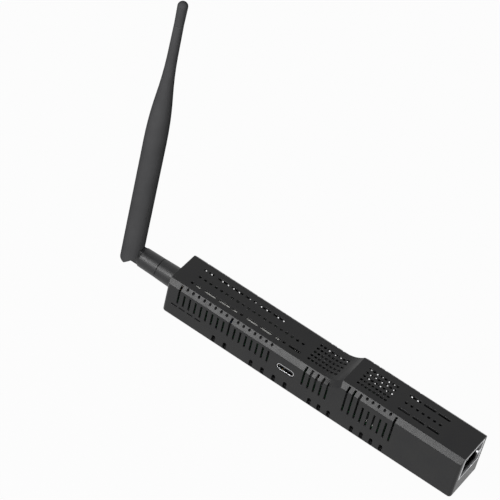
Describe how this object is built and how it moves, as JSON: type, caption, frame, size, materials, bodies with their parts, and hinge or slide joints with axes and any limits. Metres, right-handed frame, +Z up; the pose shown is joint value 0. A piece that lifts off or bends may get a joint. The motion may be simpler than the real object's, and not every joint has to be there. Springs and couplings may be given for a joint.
{
  "type": "smart home radio stick",
  "caption": "Slim vented two-height case with a hinged rod antenna at one end, a network jack in the other and a small data and power port in the side, for linking radio devices to a network.",
  "frame": {"origin": "centre of the case's underside, on the face it stands on", "axes": "+X along the case towards the end with the network jack, -Y towards the side with the small port, +Z up, along the raised antenna"},
  "size_m": [0.1853, 0.022, 0.1599],
  "materials": {
    "case_plastic": "fine matte texture",
    "screw_steel": "zinc plated",
    "board_laminate": "green solder mask",
    "module_laminate": "dark solder mask",
    "tinned_shield": "tinned sheet",
    "plated_shield": "nickel plated sheet",
    "connector_plastic": "moulded",
    "gold_contact": "gold plated",
    "socket_brass": "turned",
    "white_insulator": "smooth",
    "antenna_plastic": "moulded",
    "antenna_rubber": "soft sleeve moulding",
    "ferrite": "sintered",
    "winding_tape": "wrapped film tape",
    "capacitor_can": "drawn can",
    "chip_resin": "moulded resin",
    "lamp_resin": "clear resin"
  },
  "bodies": {
    "stick": {"case_shell": "case_plastic", "bottom_cover": "case_plastic", "cover_screws": "screw_steel", "main_board": "board_laminate", "radio_module": "module_laminate", "radio_module_shield": "tinned_shield", "network_module": "module_laminate", "network_module_shield": "tinned_shield", "module_headers": "connector_plastic", "network_jack_shield": "plated_shield", "network_jack_housing": "connector_plastic", "network_jack_contacts": "gold_contact", "front_port_shell": "plated_shield", "front_port_tongue": "connector_plastic", "antenna_socket": "socket_brass", "antenna_socket_insulator": "white_insulator", "antenna_socket_contact": "gold_contact", "antenna_collar": "antenna_plastic", "antenna_nut": "socket_brass", "power_transformer_core": "ferrite", "power_transformer_winding": "winding_tape", "filter_capacitors": "capacitor_can", "power_inductor": "ferrite", "rectifier_diodes": "chip_resin", "network_chip": "chip_resin", "bridge_chip": "chip_resin", "power_chip": "chip_resin", "line_transformer": "chip_resin", "status_lamps": "lamp_resin"},
    "knuckle": {"antenna_knuckle": "antenna_plastic", "antenna_plug_pin": "gold_contact"},
    "mast": {"antenna_mast": "antenna_rubber", "antenna_tip_cap": "antenna_rubber", "antenna_radiator": "socket_brass"}
  },
  "joints": [
    {"name": "antenna_swivel", "type": "hinge", "parent": "stick", "child": "knuckle", "pos_m": [-0.0877, 0, 0.0105], "axis": [1, 0, 0], "range_deg": [-180, 180]},
    {"name": "antenna_tilt", "type": "hinge", "parent": "knuckle", "child": "mast", "pos_m": [-0.10325, 0, 0.0105], "axis": [0, 1, 0], "range_deg": [-90, 0]}
  ]
}
